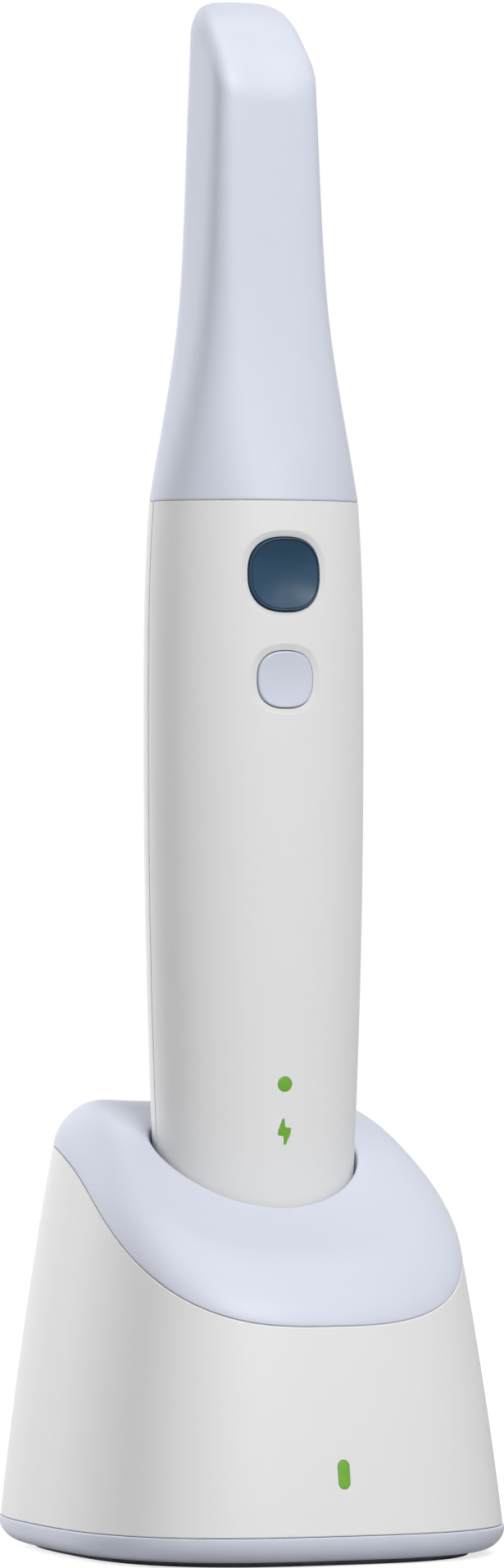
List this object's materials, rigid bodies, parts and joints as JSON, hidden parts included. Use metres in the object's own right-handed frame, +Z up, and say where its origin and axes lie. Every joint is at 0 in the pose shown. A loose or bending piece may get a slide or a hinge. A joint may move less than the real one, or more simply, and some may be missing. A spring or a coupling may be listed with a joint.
{
  "type": "intraoral scanner with charging base",
  "caption": "Handheld wireless intraoral scanner with a pull-off mirror tip and two push buttons, resting tip up in a sloping charging base.",
  "frame": {"origin": "centre of the base's footprint on the table", "axes": "+Z up along the handpiece, buttons and base light face -Y, scan window and power inlet face +Y"},
  "size_m": [0.076, 0.0844, 0.2556],
  "materials": {
    "lavender_plastic": "satin with fine grain",
    "white_plastic": "satin with fine grain",
    "navy_plastic": "satin gloss",
    "green_light": "lit light guide",
    "dark_rubber": "matt",
    "grey_plastic": "moulded",
    "black_plastic": "moulded",
    "circuit_board": "solder mask",
    "steel": "plated",
    "aluminium": "bead blasted",
    "contact_gold": "gold plated",
    "battery_wrap": "shrink wrap",
    "mirror_glass": "front coated",
    "window_glass": "coated"
  },
  "bodies": {
    "base": {"base_bezel": "lavender_plastic", "base_housing": "white_plastic", "base_tray": "lavender_plastic", "rubber_foot": "dark_rubber", "ballast_plate": "steel", "charger_board": "circuit_board", "pin_block": "black_plastic", "power_inlet": "steel", "base_light_pipe": "green_light", "base_screw_1": "steel", "base_screw_2": "steel", "base_screw_3": "steel", "base_screw_4": "steel", "heel_cap": "white_plastic", "front_shell": "white_plastic", "rear_shell": "white_plastic", "charge_contact_1": "contact_gold", "charge_contact_2": "contact_gold", "charge_contact_3": "contact_gold", "heel_screw_1": "steel", "heel_screw_2": "steel", "status_light_pipe": "green_light", "charge_light_pipe": "green_light", "scan_switch": "black_plastic", "mode_switch": "black_plastic", "inner_frame": "grey_plastic", "charge_board": "circuit_board", "battery_cell": "battery_wrap", "main_board": "circuit_board", "radio_module": "steel", "projector_module": "black_plastic", "camera_block": "black_plastic", "camera_board": "circuit_board", "heat_sink": "aluminium", "nose_barrel": "aluminium", "nose_window": "window_glass", "tip_seal": "dark_rubber", "lens_barrel": "black_plastic"},
    "scan_button": {"scan_button": "navy_plastic"},
    "mode_button": {"mode_button": "lavender_plastic"},
    "tip": {"tip_sleeve": "lavender_plastic", "tip_mirror": "mirror_glass"},
    "charge_pin_1": {"charge_pin_1": "contact_gold"},
    "charge_pin_2": {"charge_pin_2": "contact_gold"},
    "charge_pin_3": {"charge_pin_3": "contact_gold"}
  },
  "joints": [
    {"name": "scan_button_press", "type": "slide", "parent": "base", "child": "scan_button", "axis": [0, 1, 0], "range_m": [0, 0.0006], "stiffness_N_per_m": 1500, "springref_m": -0.0002},
    {"name": "mode_button_press", "type": "slide", "parent": "base", "child": "mode_button", "axis": [0, 1, 0], "range_m": [0, 0.0006], "stiffness_N_per_m": 1500, "springref_m": -0.0002},
    {"name": "tip_pull_off", "type": "slide", "parent": "base", "child": "tip", "axis": [0, 0, 1], "range_m": [0, 0.05]},
    {"name": "charge_pin_1_press", "type": "slide", "parent": "base", "child": "charge_pin_1", "axis": [0, 0, -1], "range_m": [0, 0.0008], "stiffness_N_per_m": 300, "springref_m": -0.0008},
    {"name": "charge_pin_2_press", "type": "slide", "parent": "base", "child": "charge_pin_2", "axis": [0, 0, -1], "range_m": [0, 0.0008], "stiffness_N_per_m": 300, "springref_m": -0.0008},
    {"name": "charge_pin_3_press", "type": "slide", "parent": "base", "child": "charge_pin_3", "axis": [0, 0, -1], "range_m": [0, 0.0008], "stiffness_N_per_m": 300, "springref_m": -0.0008}
  ]
}
